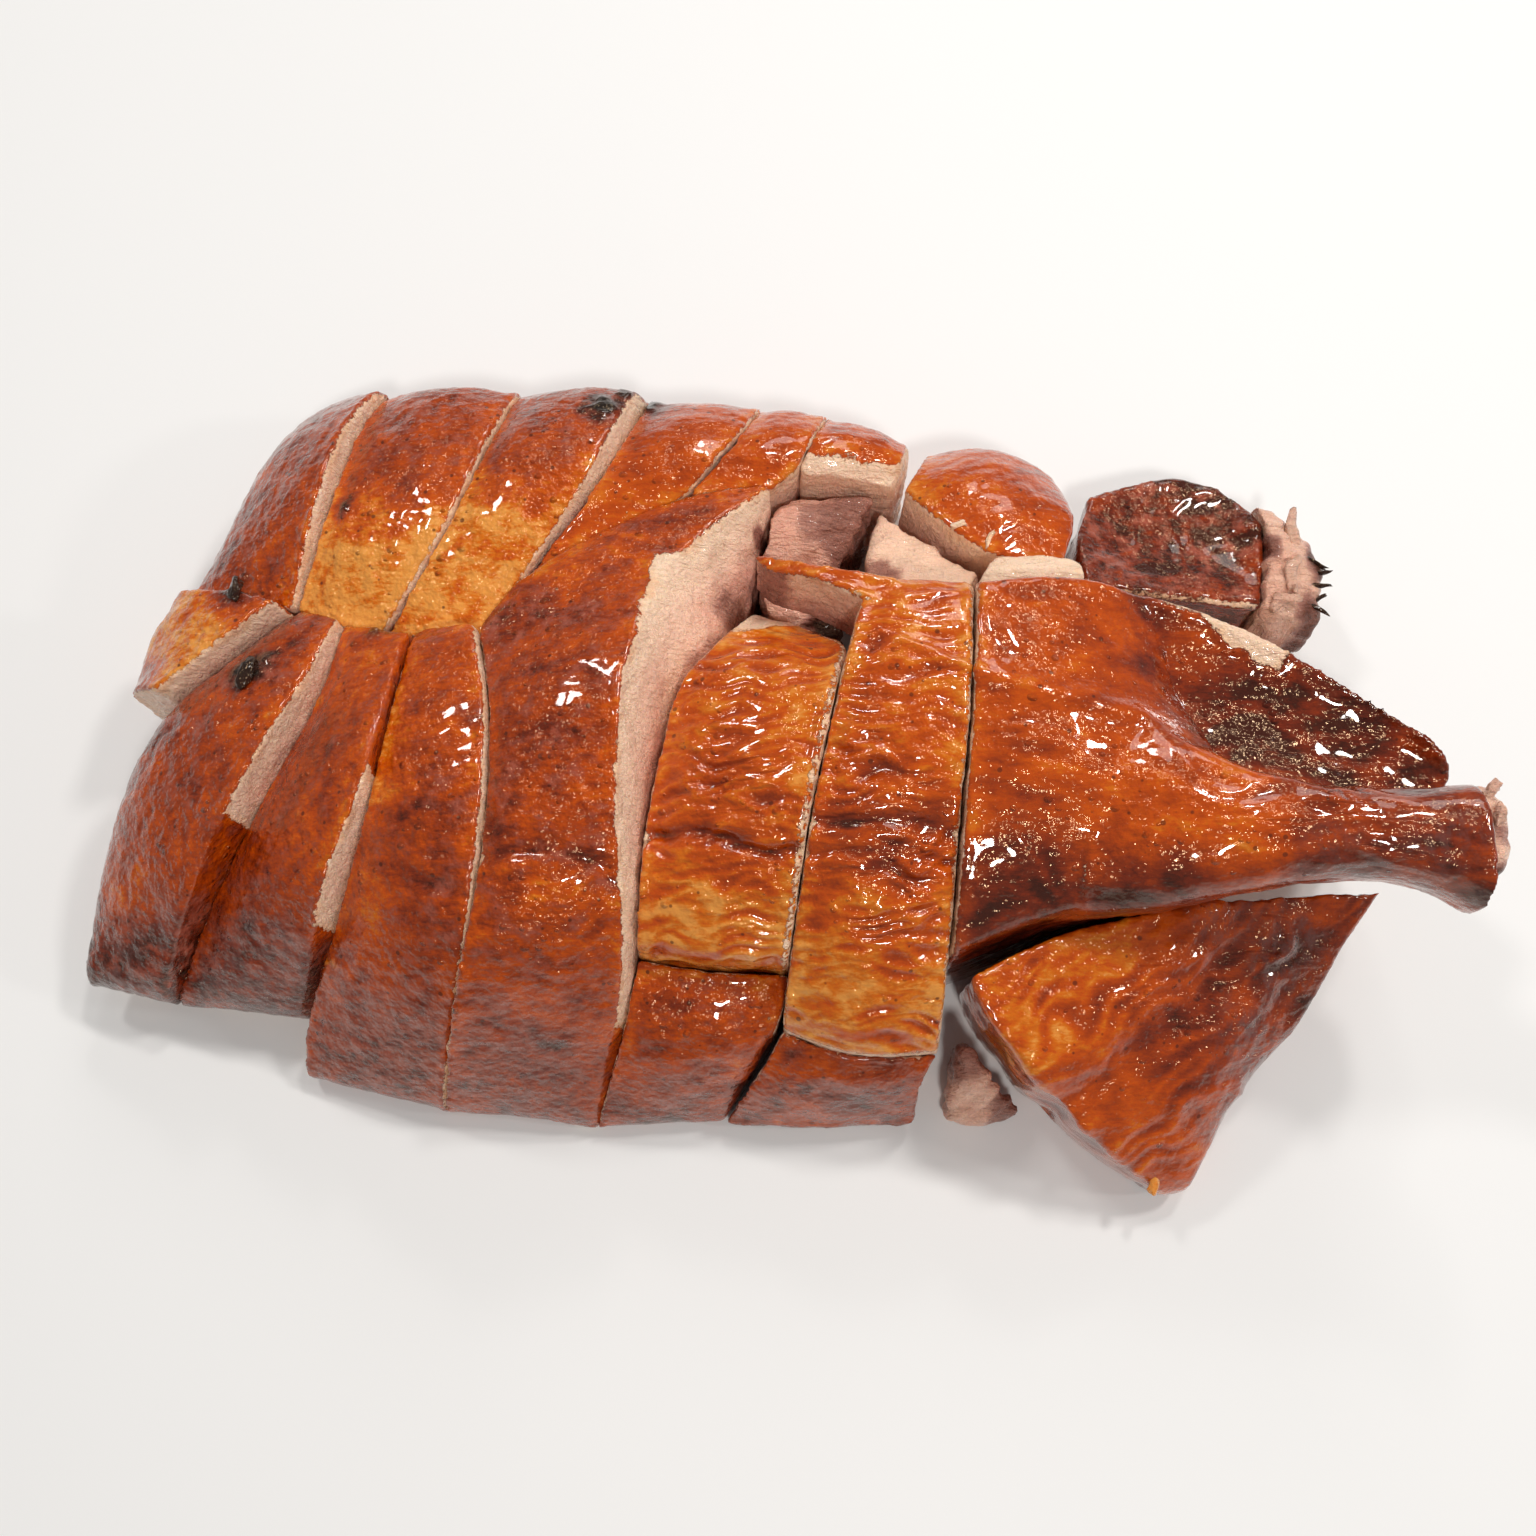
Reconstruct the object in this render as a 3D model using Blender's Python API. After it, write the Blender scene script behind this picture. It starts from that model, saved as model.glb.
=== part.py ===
# Chopped roast duck: the pieces lie skin side up and still keep the bird's shape.
# A front row of slices runs from the left end to the leg, a back row lies behind it, and the leg
# quarter closes the right end. Plan points and heights are in millimetres, and -Y is the front.
# Neighbouring pieces share a cut line, and each draws back from it by half a gap.

import math

import bpy
from mathutils import Vector

MM = 0.001
GAP = 0.6            # between neighbours, in plan
WALL_MIDDLE = 0.45   # height at which a tucked side starts to draw in, as a share of the wall
RING = 14            # points round a lofted piece

# Colours of skin, meat and bone.
SKIN_BROWN = (0.23, 0.052, 0.018)
SKIN_AMBER = (0.50, 0.15, 0.022)
MEAT_PALE = (0.72, 0.50, 0.40)
MEAT_DARK = (0.30, 0.13, 0.10)
BONE_PALE = (0.74, 0.58, 0.40)

# Where the two rows meet, from the left end to the middle slice.
SPINE = [(-122, 44), (-109, 41), (-96, 37), (-85, 32.5), (-77, 30.8), (-70, 30), (-57, 30)]

# Cut lines between the slices of the front row, from the back edge to the front edge.
CUT_1 = [(-96, 37), (-107, 28), (-119, 18)]
CUT_2 = [(-85, 32.5), (-87.5, 20), (-94, 6.5), (-100.5, -6), (-109, -20.5), (-121, -40)]
CUT_3 = [(-70, 30), (-72, 13), (-75, -5), (-80, -19), (-86, -33), (-93, -43)]
CUT_4 = [(-57, 30), (-53, 13), (-52, -4), (-53, -18), (-56, -34), (-66, -61)]
CUT_5 = [(-17, 17), (-20, 4), (-23, -12), (-25, -34)]
CUT_6 = [(16.5, 27), (14, 17), (11, 3), (8, -10), (6, -24), (4, -36.5)]
CUT_7 = [(40, 36), (38, 10), (36, -10), (35, -25), (34, -36)]

# Cut lines between the slices of the back row, from the back edge to the front edge.
BACK_CUT_1 = [(-83, 92), (-87, 78), (-90, 62), (-93, 48), (-96, 37)]
BACK_CUT_2 = [(-53, 91), (-57, 76), (-62, 60), (-68, 46), (-77, 30.8)]
BACK_CUT_3 = [(-25, 89), (-30, 74), (-36, 61), (-43, 51), (-50, 41)]
BACK_CUT_4 = [(-1, 86), (-6, 75), (-12, 66.5), (-17, 60)]
BACK_CUT_5 = [(13, 84), (10, 76), (6, 67.5)]

MIDDLE_TOP = [(-50, 41), (-34, 51), (-17, 60), (1, 63)]         # back edge of the middle slice
THIGH_FRONT = [(34, -36), (52, -29.5), (68, -25.5), (82, -23)]  # between thigh and belly flap
BELLY_LEFT = [(37.5, -38.5), (40.5, -46), (49, -55), (62, -67.5), (79, -78)]


def segment(values, t):
    """Index and place inside it of t, from 0 to 1, along evenly counted values."""
    place = min(max(t, 0.0), 1.0) * (len(values) - 1)
    index = min(int(place), len(values) - 2)
    return index, place - index


def smooth(values, t):
    """Value or point at t on a smooth line through the given ones."""
    if isinstance(values, (int, float)):
        return values
    i, s = segment(values, t)
    start, end = values[i], values[i + 1]
    before, after = values[max(i - 1, 0)], values[min(i + 2, len(values) - 1)]
    slope_in, slope_out = (end - before) * 0.5, (after - start) * 0.5
    return (start * ((1 + 2 * s) * (1 - s) ** 2) + end * (s * s * (3 - 2 * s))
            + slope_in * (s * (1 - s) ** 2) - slope_out * (s * s * (1 - s)))


def line(points, t):
    """Plan point at t, from 0 to 1 by length, on the smooth line through the points."""
    spots = [Vector(p) for p in points]
    reach = [0.0]
    for a, b in zip(spots, spots[1:]):
        reach.append(reach[-1] + (b - a).length)
    want = min(max(t, 0.0), 1.0) * reach[-1]
    i = next((k for k in range(len(spots) - 2) if want < reach[k + 1]), len(spots) - 2)
    s = (want - reach[i]) / (reach[i + 1] - reach[i])
    return smooth(spots, (i + s) / (len(spots) - 1))


def patch(edges, u, v):
    """Plan point inside four edges: u runs from left to right, and v from back to front."""
    left, right, back, front = edges
    sides = line(left, v) * (1 - u) + line(right, v) * u
    ends = line(back, u) * (1 - v) + line(front, u) * v
    top = Vector(left[0]) * (1 - u) + Vector(right[0]) * u
    bottom = Vector(left[-1]) * (1 - u) + Vector(right[-1]) * u
    return sides + ends - top * (1 - v) - bottom * v


def inward(ring):
    """Unit normals pointing into a counter-clockwise or clockwise plan ring."""
    area = sum(a.x * b.y - b.x * a.y for a, b in zip(ring, ring[1:] + ring[:1]))
    turn = 1 if area > 0 else -1
    normals = []
    for i, point in enumerate(ring):
        lean = Vector((0, 0))
        for a, b in ((ring[i - 1], point), (point, ring[(i + 1) % len(ring)])):
            if (b - a).length > 1e-6:
                step = (b - a).normalized()
                lean += Vector((-step.y, step.x)) * turn
        normals.append(lean.normalized() * min(1.0 / max(lean.length / 2, 0.5), 1.6))
    return normals


def material(name, colour, roughness):
    made = bpy.data.materials.new(name)
    made.use_nodes = True
    shader = made.node_tree.nodes["Principled BSDF"]
    shader.inputs["Base Color"].default_value = (*colour, 1)
    shader.inputs["Roughness"].default_value = roughness
    shader.inputs["Metallic"].default_value = 0
    return made


def mesh_object(name, points, faces, colour, roughness):
    mesh = bpy.data.meshes.new(name)
    mesh.from_pydata([Vector(p) * MM for p in points], [], faces)
    made = bpy.data.objects.new(name, mesh)
    bpy.context.collection.objects.link(made)
    mesh.materials.append(material(name, colour, roughness))
    return made


def rim_of(rows, columns):
    """Grid indices round the edge, back edge first, then right, front and left."""
    back = [(0, j) for j in range(columns)]
    right = [(i, columns - 1) for i in range(1, rows)]
    front = [(rows - 1, j) for j in range(columns - 2, -1, -1)]
    left = [(i, 0) for i in range(rows - 2, 0, -1)]
    return back + right + front + left


def slab(name, edges, tops, colour, roughness=0.35, crown=0, face=0, drop=0, base=0, tuck=(0, 0, 0, 0),
         rows=10, columns=5, rolled=(0, 0)):
    """One slice: skin between two cut edges, a cut face that falls away on its right, and walls.

    edges: left, right, back and front lines in plan. tops: skin heights along the left and right.
    face, drop: width and fall of the cut face along the slice. base: height of the underside.
    tuck: how far left, right, back and front draw in below, as shares of the slice.
    rolled: how far the skin turns down at the back and front ends."""
    left_top, right_top = tops
    stations = [i / (rows - 1) for i in range(rows)]
    if rolled[0]:
        stations.insert(1, 0.045)
    if rolled[1]:
        stations.insert(-1, 0.955)
    plan, height, under = [], [], []
    for v in stations:
        width = max((line(edges[1], v) - line(edges[0], v)).length, 1)
        face_share = min((smooth(face, v) + GAP) / width, 0.8) if face else 0
        shares = [j / (columns - 1) * (1 - face_share) for j in range(columns)]
        if face:
            shares.append(1)
        roll = rolled[0] * max(1 - v / 0.045, 0) + rolled[1] * max(1 - (1 - v) / 0.045, 0)
        for j, u in enumerate(shares):
            skin = u / (1 - face_share) if j < columns else 1
            z = smooth(left_top, v) * (1 - skin) + smooth(right_top, v) * skin
            z += smooth(crown, v) * 4 * skin * (1 - skin) - roll
            plan.append(patch(edges, u, v))
            height.append(z if j < columns else z - smooth(drop, v))
            tucked = (tuck[0] + u * (1 - tuck[0] - tuck[1]), tuck[2] + v * (1 - tuck[2] - tuck[3]))
            under.append(patch(edges, *tucked))
    across = columns + (1 if face else 0)
    floor = [max(smooth(base, stations[k // across]), 0) for k in range(len(plan))]
    rim = [i * across + j for i, j in rim_of(len(stations), across)]
    for k, lean in zip(rim, inward([plan[k] for k in rim])):
        plan[k] = plan[k] + lean * GAP / 2
        under[k] = under[k] + lean * GAP / 2
    count = len(plan)
    points = [(*p, z) for p, z in zip(plan, height)]
    points += [(*p, z) for p, z in zip(under, floor)]
    points += [(*plan[k], floor[k] + (height[k] - floor[k]) * WALL_MIDDLE) for k in rim]
    faces = []
    for i in range(len(stations) - 1):
        for j in range(across - 1):
            k = i * across + j
            quad = (k, k + across, k + across + 1, k + 1)
            faces.append(quad)
            faces.append(tuple(count + q for q in reversed(quad)))
    for i, k in enumerate(rim):
        n = (i + 1) % len(rim)
        middle, next_middle = 2 * count + i, 2 * count + n
        faces.append((k, rim[n], next_middle, middle))
        faces.append((middle, next_middle, count + rim[n], count + k))
    return mesh_object(name, points, faces, colour, roughness)


def loft(name, sections, colour, roughness=0.4, steps=12, square=2.3):
    """A limb along X: each section is x, y, z, half width along Y and half height along Z."""
    points, faces = [], []
    for i in range(steps + 1):
        x, y, z, wide, high = (smooth([s[k] for s in sections], i / steps) for k in range(5))
        for j in range(RING):
            angle = 2 * math.pi * j / RING
            cos, sin = math.cos(angle), math.sin(angle)
            points.append((x, y + wide * math.copysign(abs(cos) ** (2 / square), cos),
                           z + high * math.copysign(abs(sin) ** (2 / square), sin)))
    for i in range(steps):
        for j in range(RING):
            k, n = i * RING + j, i * RING + (j + 1) % RING
            faces.append((k, n, n + RING, k + RING))
    faces.append(tuple(range(RING - 1, -1, -1)))
    faces.append(tuple(steps * RING + j for j in range(RING)))
    return mesh_object(name, points, faces, colour, roughness)


def join_solids(body, *others):
    """Unites the overlapping solids with the body, and keeps them out of the scene as helpers."""
    for other in others:
        union = body.modifiers.new(other.name, "BOOLEAN")
        union.operation = "UNION"
        union.object = other
        other.hide_render = True
        other.display_type = "WIRE"


def front_row():
    """Seven slices from the left end to the thigh, each with its pale cut face to the right."""
    slab("front_slice_1",
         ([(-122, 44), (-130, 33), (-132, 22)], CUT_1, SPINE[:3], [(-132, 22), (-119, 18)]),
         ((31, 27, 24), (41, 41, 39)), SKIN_AMBER, crown=1.5, face=2.5, drop=6, tuck=(0.2, 0, 0.1, 0),
         rows=5, rolled=(3, 0))
    slab("front_slice_2",
         (CUT_1 + [(-130, 4), (-137, -17), (-140, -36)], CUT_2, SPINE[2:4],
          [(-140, -36), (-121, -40)]),
         ((36, 36, 30, 21, 13), (43, 47, 46, 37, 16)), SKIN_BROWN, crown=(1, 1.5, 2, 2, 1),
         face=(1, 1.6, 1.4, 1.2, 1), drop=(3, 9, 11, 9, 3), base=(0, 0, 0, 1, 7), tuck=(0.15, 0, 0, 0.03),
         rolled=(2, 2))
    slab("front_slice_3",
         (CUT_2, CUT_3, SPINE[3:6], [(-121, -40), (-93, -43)]),
         ((40, 38, 35, 27, 12), (44, 50, 50, 42, 15)), SKIN_BROWN, crown=(1, 1.5, 2, 2, 1),
         face=(0.8, 0.8, 1.8, 3, 2), drop=(2, 2, 9, 14, 4), base=(0, 0, 0, 1, 6), tuck=(0, 0, 0, 0.03),
         rolled=(2, 2))
    slab("front_slice_4",
         (CUT_3 + [(-95, -54)], CUT_4, SPINE[5:], [(-95, -54), (-66, -61)]),
         ((43, 48, 43, 27, 6), (48, 53, 53, 41, 7)), SKIN_AMBER, crown=(0.5, 1, 2, 3, 1),
         face=0.8, drop=(1, 2, 3, 3, 1), tuck=(0, 0, 0, 0.02), rolled=(2, 1))
    slab("front_slice_5",
         (CUT_4, [(1, 63), (-3, 44), (-10, 28)] + CUT_5 + [(-28, -47), (-35, -64)],
          [(-57, 30)] + MIDDLE_TOP, [(-66, -61), (-35, -64)]),
         ((45, 51, 51, 44, 7), (41, 48, 56, 57, 56, 49, 29, 5)), SKIN_BROWN, crown=(0.5, 1, 1.5, 3, 1),
         face=(1, 17, 14, 9, 6, 3, 2, 1), drop=(2, 16, 17, 16, 13, 7, 5, 2), tuck=(0, 0, 0, 0.02),
         rows=15, columns=6, rolled=(1.5, 1))
    slab("front_slice_6",
         ([(-2, 38), (-9, 27)] + CUT_5, CUT_6, [(-2, 38), (8, 34), (16.5, 27)],
          [(-25, -34), (-10, -36.5), (4, -36.5)]),
         ((36, 47, 48, 48, 46, 38), (43, 55, 57, 56, 49, 41)), SKIN_AMBER,
         crown=(-3, 0.5, 1.5, 2, 1.5, 1.5), face=1, drop=2, rows=11, rolled=(5, 2))
    slice_7 = slab("front_slice_7",
                   ([(20, 37.3)] + CUT_6 + [(3, -47)], CUT_7 + [(33, -51)],
                    [(20, 37.3), (30, 36.6), (40, 36)], [(3, -47), (17, -52), (33, -51)]),
                   ((53, 55, 56, 55, 54, 49, 42, 33), (54, 58, 58, 51, 45, 33)), SKIN_AMBER,
                   crown=(0.5, 1, 1.5, 2, 2.5, 1.5), face=1.2, drop=(1, 2, 4, 5, 4),
                   rows=11, rolled=(2, 2))
    fold = slab("skin_fold_solid",
                ([(-3, 44), (0, 39.5)], [(25, 36.6), (24, 31)], [(-3, 44), (11, 39.5), (25, 36.6)],
                 [(0, 39.5), (11, 36), (17, 32), (24, 31)]),
                ((47, 49), (53, 54)), SKIN_AMBER, crown=2, base=32, rows=4, columns=6)
    join_solids(slice_7, fold)


def under_pieces():
    """Lower pieces whose ends show in front of the amber slices."""
    slab("side_piece_1",
         ([(-25, -34), (-28, -47), (-35, -64)], [(4, -36.5), (2, -46), (-9, -63)],
          [(-25, -34), (-10, -36.5), (4, -36.5)], [(-35, -64), (-9, -63)]),
         ((33, 25, 5), (31, 25, 4)), SKIN_BROWN, crown=(1, 3, 1), rows=6, tuck=(0, 0, 0, 0.03))
    slab("side_piece_2",
         ([(3, -47), (-2, -55), (-9, -63)], [(33, -51), (30, -56), (30, -63)],
          [(3, -47), (17, -52), (33, -51)], [(-9, -63), (10, -64), (30, -63)]),
         ((27, 20, 4), (25, 21, 6)), MEAT_DARK, crown=2, rows=5, tuck=(0, 0.05, 0, 0.05))
    slab("meat_chunk",
         ([(38, -48), (37, -55), (36, -63)], [(41, -49.5), (45, -56), (52, -61)],
          [(38, -48), (41, -49.5)], [(36, -63), (43, -63), (52, -61)]),
         ((20, 15, 6), (20, 16, 7)), MEAT_DARK, crown=1, rows=4, columns=4)


def leg_and_flap():
    """Thigh, rump and drumstick in one piece, the bone at its end, and the belly skin below."""
    thigh = slab("leg_quarter",
                 (CUT_7, [(74, 35.5), (79, 15), (86, -2), (86, -13), (82, -23)],
                  [(40, 36), (56, 38), (74, 35.5)], THIGH_FRONT),
                 ((56, 59, 58, 54, 44), (50, 46, 50, 55, 47)), SKIN_AMBER, crown=(2, 3.5, 4, 3, 2),
                 rows=10, columns=6, rolled=(3, 4))
    rump = slab("rump_solid",
                ([(69, 36), (75, 14), (81, -3), (81, -12)], [(127, 5), (130, 0), (127, -6), (122, -12)],
                 [(69, 36), (84, 32), (97, 25.5), (114, 14), (127, 5)], [(81, -12), (122, -12)]),
                ((50, 44, 45, 50), (50, 46, 46, 50)), SKIN_BROWN, base=(12, 14, 18, 24),
                tuck=(0, 0.1, 0.06, 0), rows=7, columns=7, rolled=(2, 0))
    shank = loft("drumstick_solid",
                 [(58, -8, 43, 20, 13), (71, -10, 47, 18, 13.5), (84, -13, 51.5, 12.5, 11),
                  (97, -14, 54, 9.3, 9), (109, -14.5, 56, 8.4, 8.2), (119, -16, 57.5, 9.4, 8.8),
                  (126, -18, 58.5, 12, 10)], SKIN_BROWN)
    join_solids(thigh, rump, shank)
    loft("leg_bone", [(126.4, -16, 58.5, 9, 7.5), (128.5, -16, 58.5, 8.6, 7), (130.5, -16, 58.5, 6, 5)],
         BONE_PALE, steps=3)
    slab("belly_flap",
         (BELLY_LEFT, [(121, -20), (113, -32), (105, -46), (93, -60), (84, -77)],
          [(37.5, -38.5), (53, -30), (69, -26), (85, -23), (103, -21), (121, -20)],
          [(79, -78), (84, -77)]),
         ((42, 38, 30, 20, 9), (30, 24, 20, 16, 9)), SKIN_AMBER, crown=(0, 3, 4, 3, 0),
         tuck=(0.05, 0.12, 0, 0.04), rows=11, columns=7, rolled=(0, 2))


def back_row():
    """Slices behind the front row, from the left end to the one beside the thigh."""
    slab("back_slice_1",
         ([(-92, 95), (-106, 86), (-115, 69), (-122, 44)], BACK_CUT_1, [(-92, 95), (-83, 92)],
          SPINE[:3]),
         ((20, 21, 22, 25), (28, 37, 40, 40, 36)), SKIN_BROWN, crown=(0, 2, 2, 1), face=(1, 2, 2, 1),
         drop=(2, 5, 5, 3), tuck=(0.15, 0, 0.05, 0), rows=8, rolled=(4, 0))
    slab("back_slice_2",
         (BACK_CUT_1, BACK_CUT_2, [(-83, 92), (-68, 93), (-53, 91)], SPINE[2:5]),
         ((26, 33, 36, 37, 34), (30, 39, 42, 42, 38)), SKIN_BROWN, crown=(2, 2.5, 2, 1.5, 1), face=0.7,
         drop=2, tuck=(0, 0, 0.05, 0), rows=8, rolled=(5, 0))
    slab("back_slice_3",
         (BACK_CUT_2, BACK_CUT_3 + [(-57, 30)], [(-53, 91), (-39, 91.5), (-25, 89)], SPINE[4:]),
         ((29, 38, 41, 41, 37), (34, 42, 43, 41, 38)), SKIN_BROWN, crown=(1, 2, 2, 1.5, 1),
         face=(3.5, 3, 2, 1, 0.7), drop=(6, 6, 4, 2, 1), tuck=(0, 0, 0.05, 0), rows=8, rolled=(5, 0))
    slab("back_slice_4",
         (BACK_CUT_3, BACK_CUT_4, [(-25, 89), (-13, 88.5), (-1, 86)], [(-50, 41), (-34, 51), (-17, 60)]),
         ((28, 37, 40, 41, 38), (30, 38, 41, 40)), SKIN_AMBER, crown=(1, 1.5, 1, 0), face=0.7, drop=1.5,
         tuck=(0, 0, 0.05, 0), rows=8, rolled=(4, 0))
    slab("back_slice_5",
         (BACK_CUT_4, BACK_CUT_5, [(-1, 86), (6, 86), (13, 84)],
          [(-17, 60), (-7, 62.3), (1, 63), (6, 67.5)]),
         ((29, 37, 40, 39), (30, 38, 37)), SKIN_AMBER, crown=(1, 1, 0.5), face=0.7, drop=1.5,
         tuck=(0, 0, 0.05, 0), rows=6, rolled=(4, 1))
    slab("back_slice_6",
         (BACK_CUT_5, [(31, 77), (29, 71), (27, 66)], [(13, 84), (22, 82), (31, 77)],
          [(6, 67.5), (16, 67), (27, 66)]),
         ((29, 37, 36), (29, 34, 33)), SKIN_AMBER, crown=(1, 1.5, 1), face=1.5, drop=4,
         tuck=(0, 0, 0.08, 0), rows=6, rolled=(4, 1))
    slab("back_slice_7",
         ([(35, 78), (32, 71), (28.5, 64.5)], [(62, 73), (64, 58), (60, 45.5)],
          [(35, 78), (49, 79), (62, 73)], [(28.5, 64.5), (36, 55), (46, 46.5), (60, 45.5)]),
         ((24, 31, 33), (24, 34, 38)), SKIN_AMBER, crown=(3, 5, 3), tuck=(0, 0, 0.1, 0), rows=7,
         columns=6, rolled=(4, 2))


def inner_meat():
    """Flesh that shows where the slices part, between the two rows."""
    slab("inner_meat",
         ([(3, 63.5), (-0.5, 54), (-1.5, 46), (-1, 39.8)],
          [(23, 66), (19, 57), (14, 48), (14.5, 38), (15.4, 29)],
          [(3, 63.5), (7, 66), (23, 66)], [(-1, 39.8), (8, 35.4), (15.4, 29)]),
         ((30, 35, 31, 26), (28, 30, 26, 25, 24)), MEAT_DARK, crown=(0, 1, 0, 0), rows=8, columns=4)
    slab("meat_wedge",
         ([(24, 63), (21, 54), (20, 41)], [(44, 45.5), (42, 43), (39, 37)],
          [(24, 63), (33, 54), (44, 45.5)], [(20, 41), (30, 38.5), (39, 37)]),
         ((26, 28, 32), (34, 37, 40)), MEAT_PALE, crown=1, rows=4, columns=4)
    slab("meat_strip",
         ([(45, 45.3), (43, 42), (40.5, 37)], [(62, 44), (63, 41), (62, 38)],
          [(45, 45.3), (54, 45), (62, 44)], [(40.5, 37), (50, 38.3), (62, 38)]),
         ((44, 47, 47), (44, 46, 46)), MEAT_PALE, crown=1, rows=4, columns=4, tuck=(0, 0.05, 0, 0))


def back_piece():
    """Bony back piece beside the thigh, and the pale bone along its outer side."""
    slab("bony_piece",
         ([(70, 70), (66, 58), (66, 45)], [(105, 68), (107, 57), (104, 42)],
          [(70, 70), (86, 76), (98, 75), (105, 68)], [(66, 45), (84, 44), (104, 42)]),
         ((20, 25, 30), (20, 22, 25)), MEAT_DARK, crown=(-2, -5, -2), tuck=(0.02, 0, 0.05, 0.05),
         rows=7, columns=6, rolled=(3, 2))
    slab("rump_bone",
         ([(105, 68), (107, 57), (104, 42)], [(112, 67), (118, 58), (119.5, 48), (117, 38)],
          [(105, 68), (112, 67)], [(104, 42), (111, 38.5), (117, 38)]),
         ((22, 25, 26), (16, 19, 20, 17)), BONE_PALE, crown=(1, 3, 2), tuck=(0, 0.2, 0.05, 0.05),
         rows=7, columns=4, rolled=(2, 2))


def centre_on_floor():
    """Moves the whole so that the middle of its outline is over the origin."""
    bpy.context.view_layer.update()
    made = [o for o in bpy.context.scene.objects if o.type == "MESH"]
    spots = [o.matrix_world @ Vector(c) for o in made for c in o.bound_box]
    middle = [(min(s[k] for s in spots) + max(s[k] for s in spots)) / 2 for k in range(2)]
    for piece in made:
        piece.location = (-middle[0], -middle[1], 0)


for old in list(bpy.data.objects):
    bpy.data.objects.remove(old, do_unlink=True)

front_row()
under_pieces()
leg_and_flap()
back_row()
inner_meat()
back_piece()
centre_on_floor()
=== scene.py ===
# Looks of the chopped roast duck: glazed skin over pale cut meat, slice by slice.
import math

import bmesh
import bpy
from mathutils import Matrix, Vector, noise
from mathutils.bvhtree import BVHTree


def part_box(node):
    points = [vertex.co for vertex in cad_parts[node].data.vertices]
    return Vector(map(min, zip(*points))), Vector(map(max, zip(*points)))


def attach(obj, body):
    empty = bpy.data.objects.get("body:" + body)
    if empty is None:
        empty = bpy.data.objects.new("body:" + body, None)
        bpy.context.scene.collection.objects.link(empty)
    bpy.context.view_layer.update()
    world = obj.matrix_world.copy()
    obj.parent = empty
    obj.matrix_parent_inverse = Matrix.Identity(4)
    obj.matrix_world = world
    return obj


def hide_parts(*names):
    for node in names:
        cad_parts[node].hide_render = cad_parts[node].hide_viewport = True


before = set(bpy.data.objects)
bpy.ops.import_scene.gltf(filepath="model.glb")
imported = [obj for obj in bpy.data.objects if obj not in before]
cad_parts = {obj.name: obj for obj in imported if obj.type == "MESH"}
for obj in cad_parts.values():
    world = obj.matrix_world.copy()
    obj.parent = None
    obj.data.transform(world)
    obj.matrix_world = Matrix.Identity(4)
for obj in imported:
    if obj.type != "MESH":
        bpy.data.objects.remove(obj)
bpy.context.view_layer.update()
scene = bpy.context.scene
mm = 0.001


def mix(a, b, t):
    return a + (b - a) * t


def ease(value, low, high):
    # 0 below low, 1 above high, smooth between
    t = min(max((value - low) / (high - low), 0.0), 1.0)
    return t * t * (3 - 2 * t)


def onNode(node, u, v):
    # plan place in a node's box, in mm: u runs from left to right and v from front to back
    low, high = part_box(node)
    return Vector((mix(low.x, high.x, u), mix(low.y, high.y, v))) / mm


def grain(p, size, seed):
    return noise.noise(Vector((p.x / size + seed, p.y / size - seed, p.z / size + 2 * seed)))


def streaks(p, length, width, turn, seed):
    # noise drawn out along one direction in plan, and bent a little so that folds aren't parallel
    c, s = math.cos(turn), math.sin(turn)
    along, across = p.x * c + p.y * s, p.y * c - p.x * s
    bend = noise.noise(Vector((along / length * 1.3 + seed, across / length, seed)))
    return noise.noise(Vector((along / length, across / width + bend * 1.6, p.z / (width * 3) + seed)))


# Shader groups: each gives a colour, a mask or a height that changes over the surface.
def newGroup(name, inputs, outputs):
    group = bpy.data.node_groups.new(name, "ShaderNodeTree")
    for label, value in inputs.items():
        socket = group.interface.new_socket(label, in_out="INPUT", socket_type="NodeSocketFloat")
        socket.default_value = value
    for label, kind in outputs.items():
        group.interface.new_socket(label, in_out="OUTPUT", socket_type="NodeSocket" + kind)
    return group, group.nodes.new("NodeGroupInput"), group.nodes.new("NodeGroupOutput")


def put(tree, kind, settings=None, **inputs):
    # adds a node, sets its options and fills its inputs with values or with other nodes' outputs;
    # _0 stands for the input at index 0, and any other _ for a space
    node = tree.nodes.new("ShaderNode" + kind)
    for option, value in (settings or {}).items():
        setattr(node, option, value)
    for label, value in inputs.items():
        key = int(label[1:]) if label[0] == "_" else label.replace("_", " ")
        if isinstance(value, bpy.types.NodeSocket):
            tree.links.new(value, node.inputs[key])
        else:
            node.inputs[key].default_value = value
    return node


def maths(tree, operation, a, b, clamp=False):
    return put(tree, "Math", {"operation": operation, "use_clamp": clamp}, _0=a, _1=b).outputs[0]


def mixColours(tree, share, a, b):
    return put(tree, "Mix", {"data_type": "RGBA"}, _0=share, _6=a, _7=b).outputs[2]


def mixValues(tree, share, a, b):
    return put(tree, "Mix", {"data_type": "FLOAT"}, _0=share, _2=a, _3=b).outputs[0]


def ramp(tree, value, stops):
    node = tree.nodes.new("ShaderNodeValToRGB")
    tree.links.new(value, node.inputs[0])
    marks = node.color_ramp.elements
    while len(marks) < len(stops):
        marks.new(1.0)
    for mark, (place, colour) in zip(marks, stops):
        mark.position = place
        mark.color = (*colour, 1)
    return node.outputs["Color"]


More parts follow.
